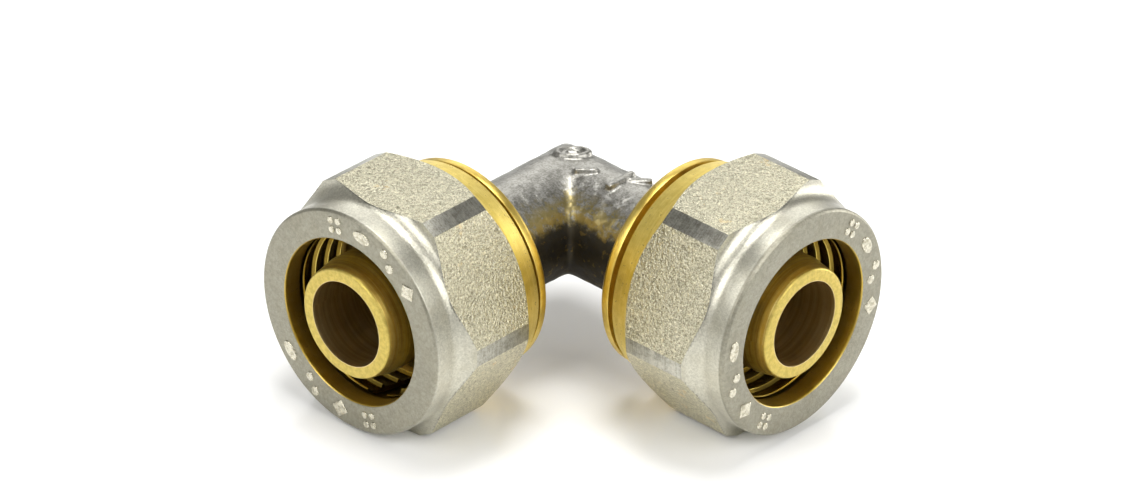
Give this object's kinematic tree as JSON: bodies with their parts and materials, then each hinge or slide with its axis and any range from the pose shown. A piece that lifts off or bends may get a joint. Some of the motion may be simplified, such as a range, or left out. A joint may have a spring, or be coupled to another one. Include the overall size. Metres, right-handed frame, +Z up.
{
  "type": "pipe compression elbow",
  "caption": "Right-angle compression fitting for multilayer pipe: forged elbow with pipe inserts, hexagon nuts, split rings, seals and insulating washers.",
  "frame": {"origin": "under the middle of the fitting's outline, on the level of the lower nut corner it lies on; the two leg axes cross at (-0.008465, 0.008465, 0.011817)", "axes": "+X along the right leg, out of its nut; -Y along the left leg, out of its nut; +Z up, square to both legs"},
  "size_m": [0.042, 0.042, 0.0236],
  "materials": {
    "elbow_brass": "nickel plated rough forging, with bare machined brass flanges, threads and inserts",
    "nut_plating": "grit blasted and nickel plated, with bare machined brass bore and rear chamfer",
    "ring_brass": "bright turned brass",
    "seal_rubber": "smooth moulded black rubber",
    "washer_plastic": "white moulded plastic"
  },
  "bodies": {
    "elbow": {"elbow_body": "elbow_brass", "left_inner_o_ring": "seal_rubber", "left_outer_o_ring": "seal_rubber", "left_insulating_washer": "washer_plastic", "right_inner_o_ring": "seal_rubber", "right_outer_o_ring": "seal_rubber", "right_insulating_washer": "washer_plastic"},
    "left_ring": {"left_split_ring": "ring_brass"},
    "left_nut": {"left_nut": "nut_plating"},
    "right_ring": {"right_split_ring": "ring_brass"},
    "right_nut": {"right_nut": "nut_plating"}
  },
  "joints": [
    {"name": "left_nut_travel", "type": "slide", "parent": "elbow", "child": "left_ring", "axis": [0, -1, 0], "range_m": [0, 0.006]},
    {"name": "left_nut_turn", "type": "hinge", "parent": "left_ring", "child": "left_nut", "pos_m": [-0.00847, -0.01344, 0.01182], "axis": [0, -1, 0], "range_deg": [0, 1440]},
    {"name": "right_nut_travel", "type": "slide", "parent": "elbow", "child": "right_ring", "axis": [1, 0, 0], "range_m": [0, 0.006]},
    {"name": "right_nut_turn", "type": "hinge", "parent": "right_ring", "child": "right_nut", "pos_m": [0.01344, 0.00847, 0.01182], "axis": [1, 0, 0], "range_deg": [0, 1440]}
  ],
  "couplings": [
    {"joint": "left_nut_travel", "follows": "left_nut_turn", "m_per_rad": 0.00023873},
    {"joint": "right_nut_travel", "follows": "right_nut_turn", "m_per_rad": 0.00023873}
  ]
}
